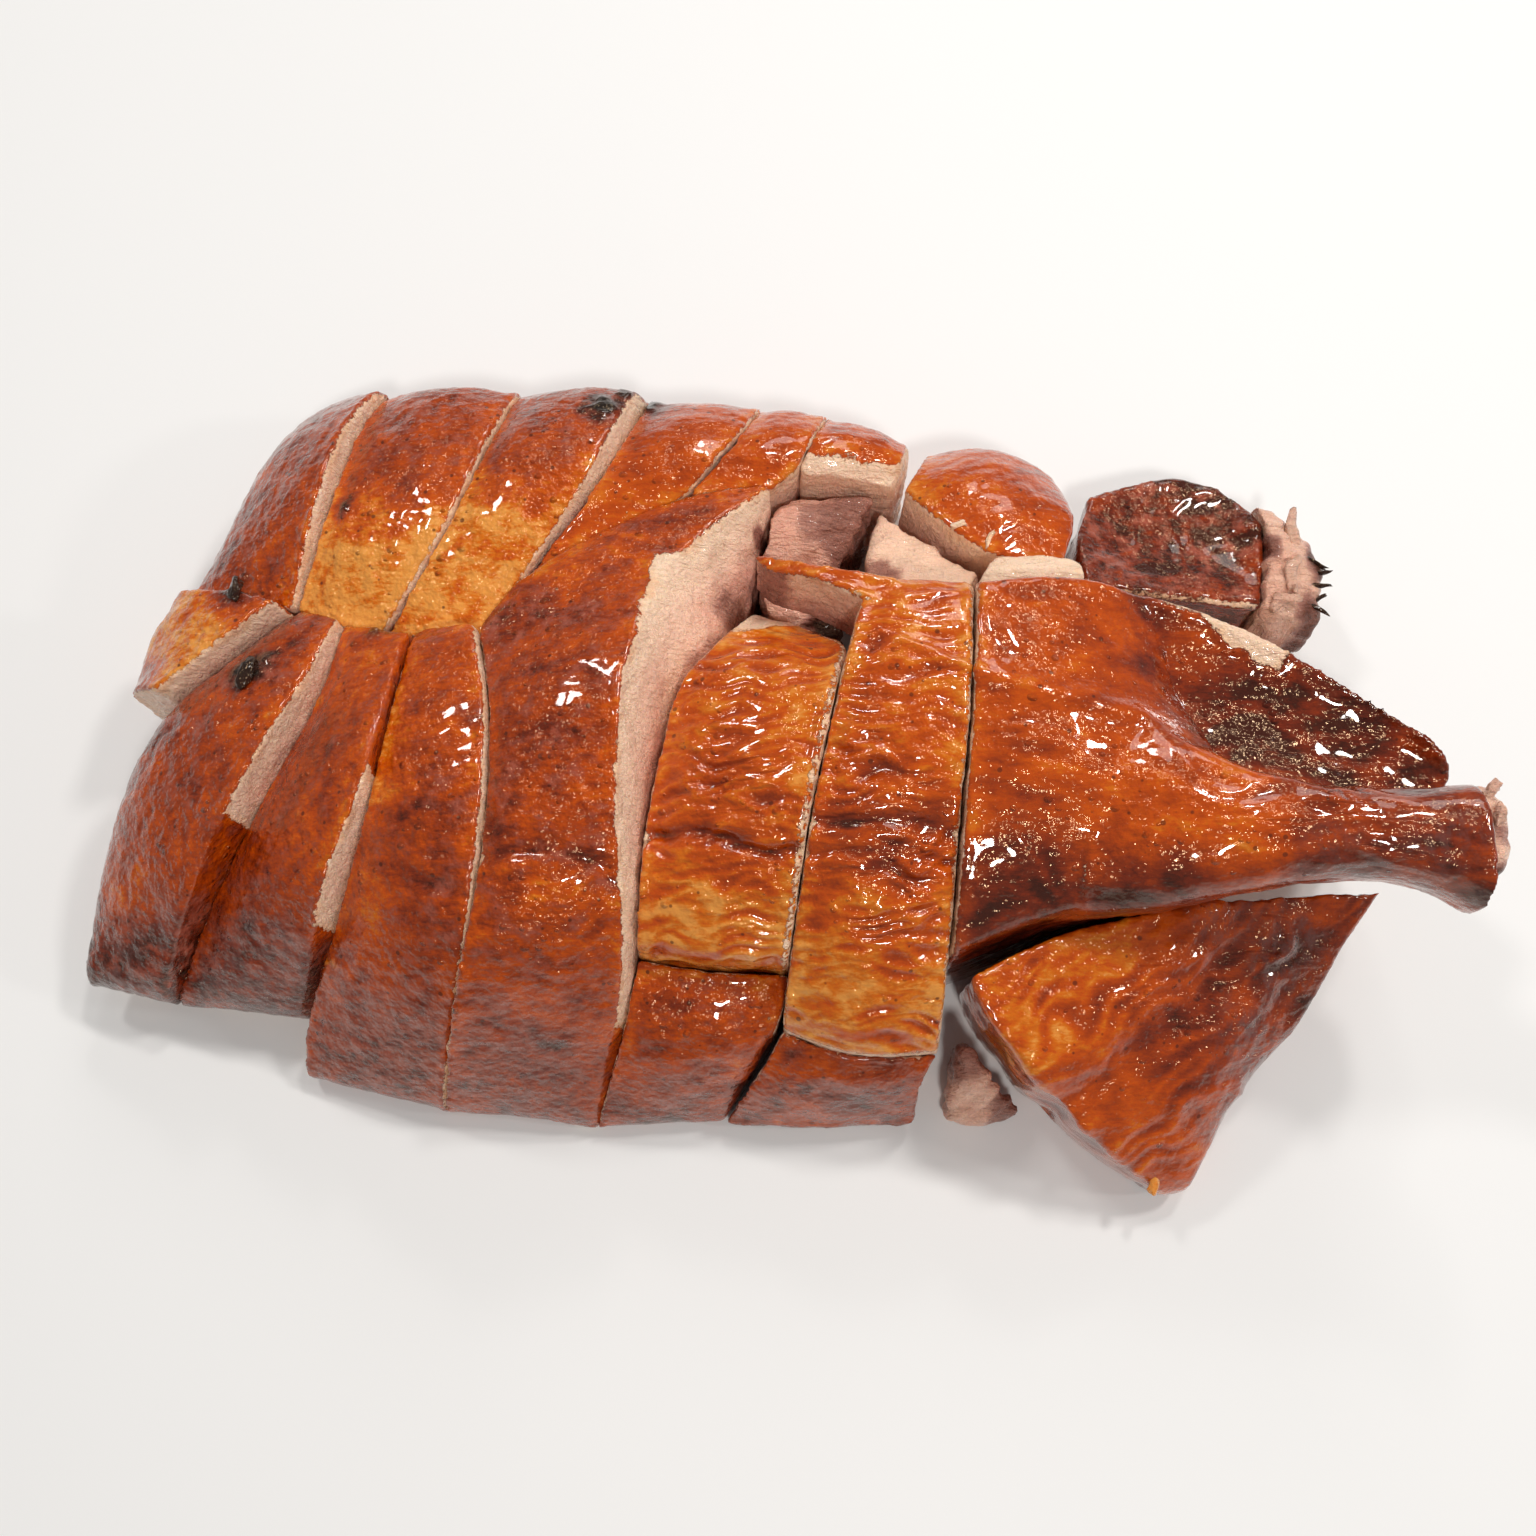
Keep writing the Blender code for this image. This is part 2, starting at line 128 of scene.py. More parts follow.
def within(tree, value, low, high):
    node = put(tree, "MapRange", {"interpolation_type": "SMOOTHSTEP"}, Value=value)
    node.inputs["From Min"].default_value = low
    node.inputs["From Max"].default_value = high
    return node.outputs[0]


def spread(tree, size, stretch=(1, 1, 1), turn=0.0):
    # object coordinates measured in pattern sizes, in mm
    place = tree.nodes.new("ShaderNodeTexCoord").outputs["Object"]
    node = put(tree, "Mapping", Vector=place)
    node.inputs["Rotation"].default_value = (0, 0, turn)
    node.inputs["Scale"].default_value = [1 / (mm * size * s) for s in stretch]
    return node.outputs[0]


def speckle(tree, size, detail=2.0, rough=0.5, stretch=(1, 1, 1), turn=0.0, bend=0.0):
    return put(tree, "TexNoise", Vector=spread(tree, size, stretch, turn), Scale=1.0, Detail=detail,
               Roughness=rough, Distortion=bend).outputs["Fac"]


skinBrowns = [(0.0, (0.76, 0.30, 0.055)), (0.16, (0.62, 0.145, 0.004)), (0.32, (0.53, 0.074, 0.001)),
              (0.48, (0.41, 0.050, 0.001)), (0.64, (0.28, 0.032, 0.003)), (0.80, (0.165, 0.017, 0.004)),
              (1.0, (0.05, 0.007, 0.003))]
rosyBlush = (0.36, 0.085, 0.05, 1)
# painted sheen: a purple-grey colour that stands in for the shine of wet glaze
purpleFilm = (0.15, 0.062, 0.056, 1)


def browningGroup():
    # Tone runs from pale gold through amber to mahogany and nearly black
    group, given, result = newGroup("browning", {"Tone": 0.5, "Mottle": 0.2, "Blush": 0.3, "Film": 0.0},
                                    {"Color": "Color"})
    broad = maths(group, "SUBTRACT", speckle(group, 6, 3, 0.6), 0.5)
    small = maths(group, "SUBTRACT", speckle(group, 1.1, 4, 0.7, (2.8, 0.9, 1.2), 0.08, 0.6), 0.5)
    both = maths(group, "ADD", broad, maths(group, "MULTIPLY", small, 0.9))
    shift = maths(group, "MULTIPLY", both, given.outputs["Mottle"])
    tone = maths(group, "ADD", given.outputs["Tone"], shift)
    colour = ramp(group, tone, skinBrowns)
    rosy = maths(group, "MULTIPLY", within(group, speckle(group, 4.2, 4, 0.65), 0.45, 0.7),
                 within(group, tone, 0.35, 0.75))
    rosy = maths(group, "MULTIPLY", rosy, given.outputs["Blush"])
    colour = mixColours(group, rosy, colour, rosyBlush)
    # painted sheen: streaky patches where the skin is painted purple-grey as if it shone
    paintedSheen = within(group, speckle(group, 1.8, 4, 0.7, (1, 2, 1)), 0.35, 0.7)
    paintedSheen = maths(group, "MULTIPLY", paintedSheen, given.outputs["Film"], True)
    group.links.new(mixColours(group, paintedSheen, colour, purpleFilm), result.inputs["Color"])
    return group


def poresGroup():
    # small dark dots, some cells left empty
    group, given, result = newGroup("pores", {"Size": 0.35, "Amount": 1.0}, {"Mask": "Float"})
    cells = put(group, "TexVoronoi", Vector=spread(group, 2.6), Scale=1.0)
    chance = put(group, "SeparateColor", Color=cells.outputs["Color"]).outputs[0]
    radius = maths(group, "MULTIPLY", maths(group, "SUBTRACT", chance, 0.45, True), given.outputs["Size"])
    fade = maths(group, "SUBTRACT", radius, cells.outputs["Distance"])
    dot = within(group, fade, -0.03, 0.06)
    group.links.new(maths(group, "MULTIPLY", dot, given.outputs["Amount"], True), result.inputs["Mask"])
    return group


def beadsGroup():
    # tiny beads of fat and glaze, gathered in patches
    group, given, result = newGroup("beads", {"Amount": 1.0}, {"Height": "Float"})
    cells = put(group, "TexVoronoi", Vector=spread(group, 1.7, (1.3, 1, 1)), Scale=1.0)
    chance = put(group, "SeparateColor", Color=cells.outputs["Color"]).outputs[1]
    patch = within(group, speckle(group, 9, 3, 0.6), 0.42, 0.62)
    radius = maths(group, "MULTIPLY", maths(group, "SUBTRACT", chance, 0.5, True), patch)
    dome = maths(group, "SUBTRACT", radius, cells.outputs["Distance"], True)
    group.links.new(maths(group, "MULTIPLY", dome, given.outputs["Amount"]), result.inputs["Height"])
    return group


def skinReliefGroup():
    # fine pebbled skin with tight creases that lie mostly along the bird
    group, given, result = newGroup("skinRelief", {"Pebble": 1.0, "Crease": 1.0}, {"Height": "Float"})
    fine, coarse = speckle(group, 1.3, 1.5, 0.5), speckle(group, 3.6, 1)
    pebble = maths(group, "ADD", fine, maths(group, "MULTIPLY", coarse, 1.6))
    wave = speckle(group, 2.2, 1.2, 0.5, (3.4, 1, 1.5), 0.06, 0.6)
    where = within(group, speckle(group, 12, 1, 0.5, (1.6, 1, 1)), 0.38, 0.6)
    where = maths(group, "ADD", maths(group, "MULTIPLY", where, 0.8), 0.2)
    crease = maths(group, "MULTIPLY", wave, where)
    total = maths(group, "ADD", maths(group, "MULTIPLY", pebble, given.outputs["Pebble"]),
                  maths(group, "MULTIPLY", crease, given.outputs["Crease"]))
    group.links.new(total, result.inputs["Height"])
    return group


meatColours = [(0.0, (0.95, 0.60, 0.38)), (0.05, (1.0, 0.72, 0.52)), (0.22, (0.98, 0.62, 0.46)),
               (0.40, (0.80, 0.39, 0.29)), (0.62, (0.42, 0.17, 0.13)), (0.82, (0.24, 0.085, 0.062)),
               (1.0, (0.12, 0.04, 0.026))]
# stain colours: dark juice on meat, and painted shade in recesses, down to nearly black
stainAndShadeColours = [(0.0, (0.70, 0.36, 0.27)), (0.5, (0.40, 0.18, 0.14)), (0.8, (0.16, 0.05, 0.035)),
                (1.0, (0.035, 0.012, 0.008))]
paleFibre = (1.0, 0.80, 0.66, 1)
meatDepth = 40  # mm below the skin at which meat is darkest
darkDepth = 24  # mm that dark meat seems deeper by


def fleshGroup():
    # Depth is how far below the skin's edge, in mm: fat first, then pale meat, then darker meat
    group, given, result = newGroup("flesh", {"Depth": 5.0, "Dark": 0.0, "Stain": 0.0},
                                    {"Color": "Color", "Height": "Float"})
    fibre = speckle(group, 1.0, 4, 0.65, (1.1, 1.1, 4.5))
    strand = speckle(group, 1.1, 3, 0.6, (3.5, 0.8, 2), 0.9, 1.0)
    cloud = speckle(group, 8, 3, 0.55)
    cloudShift = maths(group, "MULTIPLY", maths(group, "SUBTRACT", cloud, 0.5), 10)
    fibreShift = maths(group, "MULTIPLY", maths(group, "SUBTRACT", fibre, 0.5), 4)
    depth = maths(group, "ADD", given.outputs["Depth"], cloudShift)
    depth = maths(group, "ADD", depth, fibreShift)
    depth = maths(group, "ADD", depth, maths(group, "MULTIPLY", given.outputs["Dark"], darkDepth))
    colour = ramp(group, maths(group, "DIVIDE", depth, meatDepth), meatColours)
    pale = maths(group, "MULTIPLY", within(group, fibre, 0.5, 0.78), 0.22)
    colour = mixColours(group, pale, colour, paleFibre)
    strandShift = maths(group, "MULTIPLY", maths(group, "SUBTRACT", strand, 0.5), 0.6)
    # stains darken the meat, both for real juice and as painted shade in the recesses between slices
    stainAndShade = maths(group, "ADD", given.outputs["Stain"], strandShift)
    stainAndShade = maths(group, "MULTIPLY", stainAndShade, within(group, given.outputs["Stain"], 0.02, 0.2))
    stainAndShadeColour = ramp(group, stainAndShade, stainAndShadeColours)
    group.links.new(mixColours(group, within(group, stainAndShade, 0.0, 0.45), colour, stainAndShadeColour),
                    result.inputs["Color"])
    grooves = maths(group, "ADD", fibre, maths(group, "MULTIPLY", strand, 1.1))
    group.links.new(maths(group, "ADD", grooves, maths(group, "MULTIPLY", cloud, 1.2)),
                    result.inputs["Height"])
    return group


groups = {"browning": browningGroup(), "pores": poresGroup(), "beads": beadsGroup(),
          "skinRelief": skinReliefGroup(), "flesh": fleshGroup()}
print("shader groups built")


def useGroup(tree, name, **inputs):
    node = tree.nodes.new("ShaderNodeGroup")
    node.node_tree = groups[name]
    for label, value in inputs.items():
        if isinstance(value, bpy.types.NodeSocket):
            tree.links.new(value, node.inputs[label])
        else:
            node.inputs[label].default_value = value
    return node.outputs


def newMaterial(name):
    material = bpy.data.materials.new(name)
    material.use_nodes = True
    return material, material.node_tree.nodes["Principled BSDF"]


# Values kept at each point of a piece: edge is the distance inside the skin's edge, in mm, and is
# less than 0 on meat; the others run from 0 to about 1.
layerNames = ("edge", "tone", "burn", "paintedSheen", "wrinkle", "stainAndShade")

roastColours = {"pore": (0.06, 0.010, 0.004, 1), "burntSkin": (0.012, 0.006, 0.004, 1),
                "burntMeat": (0.02, 0.008, 0.005, 1), "gloss": (1.0, 0.70, 0.42, 1)}
roastFinish = {"ragged": 2.8, "poreSize": 0.38, "poreShade": 0.75, "skinRough": 0.07, "meatRough": 0.2,
               "meatMatt": 0.3, "meatCoat": 0.12, "coatRough": 0.04, "gloss": 0.4,
               "glow": 0.1, "glowRadius": (1.0, 0.35, 0.15), "glowDepth": 1.5 * mm}


def roastMaterial(name, look):
    # one roasted slice: glazed skin on top, then a thread of fat and the cut meat below it
    material, shader = newMaterial(name)
    tree = material.node_tree
    edge, tone, burn, paintedSheen, wrinkle, stainAndShade = [
        put(tree, "Attribute", {"attribute_name": layer}).outputs["Fac"] for layer in layerNames]
    ragged = maths(tree, "MULTIPLY", maths(tree, "SUBTRACT", speckle(tree, 1.3, 4, 0.7), 0.5),
                   roastFinish["ragged"])
    raggedEdge = maths(tree, "ADD", edge, ragged)
    isSkin = within(tree, raggedEdge, -0.6, -0.25)
    brown = useGroup(tree, "browning", Tone=tone, Mottle=look["mottle"], Blush=look["blush"], Film=paintedSheen)
    dots = useGroup(tree, "pores", Size=roastFinish["poreSize"], Amount=look["pores"])["Mask"]
    dots = maths(tree, "MULTIPLY", dots, roastFinish["poreShade"])
    skin = mixColours(tree, dots, brown["Color"], roastColours["pore"])
    skin = mixColours(tree, burn, skin, roastColours["burntSkin"])
    depth = maths(tree, "MULTIPLY", raggedEdge, -1)
    flesh = useGroup(tree, "flesh", Depth=depth, Dark=look["dark"], Stain=stainAndShade)
    meat = mixColours(tree, burn, flesh["Color"], roastColours["burntMeat"])
    tree.links.new(mixColours(tree, isSkin, meat, skin), shader.inputs["Base Color"])
    crease = maths(tree, "MULTIPLY", wrinkle, look["crease"])
    relief = useGroup(tree, "skinRelief", Pebble=look["pebble"], Crease=crease)["Height"]
    relief = maths(tree, "ADD", relief, useGroup(tree, "beads", Amount=look["beads"])["Height"])
    height = mixValues(tree, isSkin, flesh["Height"], relief)
    bumps = put(tree, "Bump", Strength=look["bump"], Distance=mm, Height=height)
    tree.links.new(bumps.outputs[0], shader.inputs["Normal"])
    patchy = within(tree, speckle(tree, 4, 4, 0.65), 0.35, 0.65)
    skinRough = maths(tree, "ADD", maths(tree, "MULTIPLY", patchy, look["matt"]), roastFinish["skinRough"])
    meatRough = maths(tree, "MULTIPLY", patchy, roastFinish["meatMatt"])
    meatRough = maths(tree, "ADD", meatRough, roastFinish["meatRough"])
    tree.links.new(mixValues(tree, isSkin, meatRough, skinRough), shader.inputs["Roughness"])
    coat = mixValues(tree, isSkin, roastFinish["meatCoat"], look["coat"])
    tree.links.new(coat, shader.inputs["Coat Weight"])
    shader.inputs["Coat Roughness"].default_value = roastFinish["coatRough"]
    shader.inputs["Specular IOR Level"].default_value = roastFinish["gloss"]
    shader.inputs["Specular Tint"].default_value = roastColours["gloss"]
    shader.inputs["Subsurface Weight"].default_value = roastFinish["glow"]
    shader.inputs["Subsurface Radius"].default_value = roastFinish["glowRadius"]
    shader.inputs["Subsurface Scale"].default_value = roastFinish["glowDepth"]
    return material


brownRoast = roastMaterial("brownRoast", {
    "mottle": 0.9, "blush": 1.0, "beads": 5.0, "pores": 1.0, "pebble": 0.75, "crease": 1.0, "bump": 0.8,
    "matt": 0.14, "dark": 0.0, "coat": 0.6})
amberRoast = roastMaterial("amberRoast", {
    "mottle": 0.62, "blush": 0.0, "beads": 3.5, "pores": 0.9, "pebble": 0.45, "crease": 2.0, "bump": 0.8,
    "matt": 0.1, "dark": 0.0, "coat": 0.8})
darkMeat = roastMaterial("darkMeat", {
    "mottle": 0.3, "blush": 0.3, "beads": 1.0, "pores": 0.3, "pebble": 0.9, "crease": 1.0, "bump": 1.0,
    "matt": 0.14, "dark": 0.4, "coat": 0.5})
print("materials made")


def weldedSolid(node):
    solid = bmesh.new()
    solid.from_mesh(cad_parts[node].data)
    bmesh.ops.remove_doubles(solid, verts=solid.verts, dist=1e-5)
    bmesh.ops.join_triangles(solid, faces=solid.faces, angle_face_threshold=0.7, angle_shape_threshold=1.5)
    solid.normal_update()
    return solid


levelFacing = 0.6  # a face is nearly level where its normal rises more than this
topFacing = 0.25  # it belongs to the top above this
underFacing = -0.6  # and to the underside below this
sideFacing = 0.5  # a wall belongs to a side that it faces by more than this
alongFacing = 0.7  # an edge runs along the slice where it follows it by more than this


def markSkin(solid, look):
    # skin spreads over the top until an edge turns too sharply, and covers the outer sides of the bird
    along = Vector((math.cos(math.radians(look["lie"])), math.sin(math.radians(look["lie"]))))
    sides = {"front": (0, -1), "back": (0, 1), "left": (-1, 0), "right": (1, 0)}
    start = max(solid.faces, key=lambda f: f.calc_center_median().z if f.normal.z > levelFacing else -1)
    found, queue = {start}, [start]
    while queue:
        for edge in queue.pop().edges:
            run = (edge.verts[1].co - edge.verts[0].co).xy
            isAlong = run.length > 0 and abs(run.normalized().dot(along)) > alongFacing
            if math.degrees(edge.calc_face_angle(0)) > look["spread"][0 if isAlong else 1]:
                continue
            fresh = [f for f in edge.link_faces if f not in found and f.normal.z > topFacing]
            found.update(fresh)
            queue.extend(fresh)
    for face in solid.faces:
        outer = topFacing >= face.normal.z > underFacing and any(
            face.normal.xy.dot(Vector(sides[side])) > sideFacing for side in look["outer"])
        face.material_index = int(face in found or outer)


def meshFrom(holder):
    # the mesh of an object with its modifiers applied
    bpy.context.view_layer.update()
    done = holder.evaluated_get(bpy.context.evaluated_depsgraph_get())
    return bpy.data.meshes.new_from_object(done)


softCrease = 0.35  # how sharp the edges of a soft piece stay
skinTurn = 15  # the skin's edge stays sharp where it turns more than this, in degrees
cornerTurns = (35, 70)  # other edges go from round to sharp between these, in degrees


def roundSolid(node, look):
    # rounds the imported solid, keeps its cut edges, and remeshes it evenly
    solid = weldedSolid(node)
    markSkin(solid, look)
    crease = solid.edges.layers.float.new("crease_edge")
    for edge in solid.edges:
        turn = math.degrees(edge.calc_face_angle(0))
        skinEdge = len({f.material_index for f in edge.link_faces}) == 2
        if look["soft"]:
            edge[crease] = softCrease
        elif skinEdge and turn > skinTurn:
            edge[crease] = 1.0
        else:
            edge[crease] = ease(turn, *cornerTurns)
    mesh = bpy.data.meshes.new(node)
    solid.to_mesh(mesh)
    solid.free()
    holder = bpy.data.objects.new("holder", mesh)
    scene.collection.objects.link(holder)
    rounding = holder.modifiers.new("rounding", "SUBSURF")
    rounding.levels = rounding.render_levels = 2
    rounded = meshFrom(holder)
    points = [v.co.copy() for v in rounded.vertices]
    skinTree, cutTree = [
        BVHTree.FromPolygons(points, [p.vertices for p in rounded.polygons if p.material_index == kind])
        for kind in (1, 0)]
    even = holder.modifiers.new("even", "REMESH")
    even.mode, even.voxel_size = "VOXEL", look["voxel"] * mm
    mesh = meshFrom(holder)
    bpy.data.objects.remove(holder)
    return mesh, skinTree, cutTree


def gapTo(tree, point):
    hit = tree.find_nearest(point)[3]
    return math.inf if hit is None else hit / mm


toneBlend = 3  # mm over which neighbouring tones run together


def browningAt(place, anchors):
    total = weight = 0.0
    for spot, tone in anchors:
        w = 1 / ((place - spot).length_squared + toneBlend ** 2) ** 2
        total, weight = total + tone * w, weight + w
    return total / weight


def lineDistance(place, points):
    best = math.inf
    for a, b in zip(points, points[1:]):
        run = b - a
        t = min(max((place - a).dot(run) / run.length_squared, 0), 1)
        best = min(best, (place - a - run * t).length)
    return best


def insideBy(place, corners):
    # distance to a closed outline, more than 0 inside it
    inside = False
    for a, b in zip(corners, corners[1:] + corners[:1]):
        if (a.y > place.y) != (b.y > place.y):
            crossing = a.x + (place.y - a.y) * (b.x - a.x) / (b.y - a.y)
            if place.x < crossing:
                inside = not inside
    return lineDistance(place, corners + corners[:1]) * (1 if inside else -1)


def patchAt(p, patches, reach, ragged, seed):
    # how strongly ragged round patches cover a point, 0 where there are none
    best = 0.0
    for spot, size, amount in patches:
        inside = size * reach - (p.xy - spot).length + grain(p, ragged, seed) * size * 0.5
        best = max(best, amount * ease(inside, 0, size))
    return best


# for each kind of bit: edge in mm, browning and burn
bitKinds = {"burnt": (3, 0.95, 0.9), "curl": (-1.6, 0.3, 0), "bone": (-1.5, 0.3, 0.15),
            "crumb": (3, 0.1, 0)}
overhead = 200  # mm, higher than any piece


def addBits(shape, layers, bits, seed):
    # small lumps that lie on the surface: place, kind, length, width, height and turn, in mm and degrees
    tree = BVHTree.FromBMesh(shape)
    for i, (spot, kind, length, width, height, turn) in enumerate(bits):
        top = tree.ray_cast(Vector((spot.x, spot.y, overhead)) * mm, Vector((0, 0, -1)))[0]
        if top is None:
            continue
        grown = bmesh.ops.create_icosphere(shape, subdivisions=3, radius=0.5)["verts"]
        c, s = math.cos(math.radians(turn)), math.sin(math.radians(turn))
        edge, tone, burn = bitKinds[kind]
        for vertex in grown:
            # a lumpy ball, stretched, bent sideways and turned, and raised by a fifth of its height
            p = vertex.co * (1 + 0.5 * noise.noise(vertex.co * 3 + Vector((i, seed, 0))))
            x, y, z = p.x * length, p.y * width, p.z * height
            y += math.sin(p.x * 4 + i) * width * 0.35
            vertex.co = top + Vector((x * c - y * s, x * s + y * c, z + height * 0.2)) * mm
            for layer, value in zip(layers, (edge, tone, burn, 0.0, 0.5, 0.0)):
                vertex[layer] = value


# What a piece's look may set. u and v are shares of the node's box, and lengths are in mm.
plainLook = {
    "lie": 90,  # the way that a slice runs in plan, in degrees
    "outer": (),  # sides where skin also covers the wall
    "spread": (22, 62),  # sharpest turn that skin follows, over edges along the slice and over the others
    "voxel": 0.8,  # size of the mesh's cells
    "soft": False,  # rounds every edge
    "skinless": None,  # depth of a piece that is all meat
    "pebble": 0.1,  # height of the fine bumps on skin
    "lumps": 0.3,  # height of the broad swellings
    "folds": (0.25, 12, 3.5, 0),  # height, length, width and turn of the wrinkles
    "golden": 0.14,  # how much paler skin gets at its edge
    "trim": (0.0, 0.0),  # how far skin draws back from the cut on its left and on its right
    "tear": 0.0,  # height of the shreds on meat
    "widen": 0.35,  # how far meat stands out beyond the rounded solid
    "recess": 0.1,  # how far meat sinks below the fat at its rim
    "bareDrop": 0.0,  # how far the top sinks where skin is missing
    "tones": [(0.5, 0.5, 0.5)],  # u, v and browning, from gold at 0 to nearly black at 1
    "burns": (),  # u, v, size and amount
    "paintedSheens": (),  # the same, for a painted purple sheen
    "stainsAndShade": (),  # the same, for dark juice on meat and for painted shade where the meat lies in a recess
    "wrinkles": (),  # the same, for skin with more folds
    "swells": (),  # u, v, size and height
    "creases": (),  # points, width, depth, and painted shading: darker along a sunk crease, paler along a raised one
    "cover": (),  # u, v and size of round places that skin covers
    "skinned": (),  # outlines that skin covers
    "bare": (),  # outlines with no skin
    "bits": (),  # u, v, kind, length, width, height and turn
}


def placeMarks(node, look):
    # the same look, with every place turned from shares of the box into mm
    marks = {key: [(onNode(node, u, v), *rest) for u, v, *rest in look[key]]
             for key in ("tones", "burns", "paintedSheens", "stainsAndShade", "wrinkles", "swells", "cover", "bits")}
    for key in ("skinned", "bare"):
        marks[key] = [[onNode(node, u, v) for u, v in points] for points in look[key]]
    marks["creases"] = [([onNode(node, u, v) for u, v in points], *rest)
                        for points, *rest in look["creases"]]
    lie = math.radians(look["lie"])
    marks["middle"], marks["rightward"] = onNode(node, 0.5, 0.5), Vector((math.sin(lie), -math.cos(lie)))
    return {**look, **marks}


farSkin, farMeat = 30, 40  # distances to the skin's edge are kept below these, in mm
trimReach = 20  # mm from the edge within which trim holds
skinFrom = -0.4  # mm beyond the edge where the relief of skin starts
rimWidth = 0.8  # mm, the width of skin's rolled rim
plainWrinkle, mostWrinkle = 0.35, 1.3  # the least and the most that skin is wrinkled
footing = 0.6  # mm above the floor in which nothing moves


def edgeAt(p, toSkin, toCut, upward, look, seed):
    # distance inside the skin's edge, and how far the top sinks where it is bare
    place = p.xy
    edge, drop = min(toCut, farSkin) if toSkin < toCut else -min(toSkin, farMeat), 0.0
    if look["skinless"] is not None:
        edge = -look["skinless"]
    if 0 < edge < trimReach:
        edge -= look["trim"][(place - look["middle"]).dot(look["rightward"]) > 0]
    for spot, size in look["cover"]:
        edge = max(edge, size - (place - spot).length + grain(p, 5, seed) * 2.5)
    for corners in look["skinned"]:
        edge = max(edge, min(insideBy(place, corners) + grain(p, 3.5, seed) * 1.4, 5))
    for corners in look["bare"]:
        beyond = insideBy(place, corners) + grain(p, 4, seed) * 1.3
        edge = min(edge, -beyond)
        drop += look["bareDrop"] * ease(beyond, 0.3, 5) * upward
    return edge, drop


def meatRise(p, edge, look, seed):
    # how far cut meat rises, with its lumps, fibres and shreds
    fibre = Vector((p.x, p.y, p.z * 0.4))
    move = look["widen"] - look["recess"] * ease(-edge, 0.8, 2.4)
    move += 0.25 * grain(p, 3, seed) + 0.14 * grain(fibre, 1.3, seed)
    if look["tear"]:
        shred = abs(streaks(p, 14, 3.2, 0.5, seed + 4)) * 2.2 + grain(p, 6, seed + 1) * 1.3
        move += look["tear"] * (shred - 0.6)
    return move


def surfaceAt(p, edge, look, seed):
    # how far the surface rises, with its browning, burn and wrinkle
    place = p.xy
    foldHeight, foldLength, foldWidth, foldTurn = look["folds"]
    shifted = place + Vector((grain(p, 9, 3), grain(p, 9, 7))) * 3
    tone, burn = browningAt(shifted, look["tones"]), 0.0
    if edge <= skinFrom:
        return meatRise(p, edge, look, seed), tone, burn, plainWrinkle
    move = look["lumps"] * grain(p, 11, seed)
    move += look["pebble"] * (grain(p, 1.9, seed) + grain(p, 3.6, seed + 5))
    # folds, which come in patches; their crests are painted paler and their troughs darker, as painted
    # shade together with the darker browning along creases
    wrinkle = min(plainWrinkle + sum(amount * math.exp(-((place - spot).length / size) ** 2)
                                     for spot, size, amount in look["wrinkles"]), mostWrinkle)
    fold = 1 - abs(streaks(p, foldLength, foldWidth, foldTurn, seed)) * 2.4
    patch = max(0.5 + 0.9 * grain(p, 15, seed + 2), 0)
    move += foldHeight * (fold - 0.4) * (0.4 * patch + 0.9 * patch * wrinkle)
    # painted shade in the troughs and paler crests, mixed with real darker browning in the creases
    tone -= (fold - 0.5) * 0.26 * min(foldHeight, 0.6) / 0.6
    # the skin's edge curls up and is paler
    rim = (0.42 + 0.3 * grain(p, 4, seed)) * math.exp(-(edge / rimWidth) ** 2)
    move = move * (ease(edge, skinFrom, 1.4) * 0.8 + 0.2) + rim
    tone -= look["golden"] * (1 - ease(edge + grain(p, 3, seed) * 1.5, 0.2, 4.5))
    # painted shade along sunk creases and painted light along raised ones, put into the skin's tone
    for points, width, depth, paintedShading in look["creases"]:
        wander = Vector((grain(p, 6, 4), grain(p, 6, 9))) * 1.2
        pull = math.exp(-(lineDistance(place + wander, points) / width) ** 2)
        move -= depth * pull
        tone += paintedShading * pull
    for spot, size, height in look["swells"]:
        move += height * math.exp(-((place - spot).length / size) ** 2)
    for spot, size, amount in look["burns"]:
        gap = (place - spot).length + grain(p, 2.5, seed + 3) * size * 0.7
        hit = ease(size * 1.2 - gap, 0, size * 0.5) * amount
        burn = max(burn, hit)
        move += hit * (0.6 + 0.6 * grain(p, 1.5, seed))
        tone += 0.4 * ease(size * 2.4 - gap, 0, size * 1.4) * amount
    return move, tone, burn, wrinkle


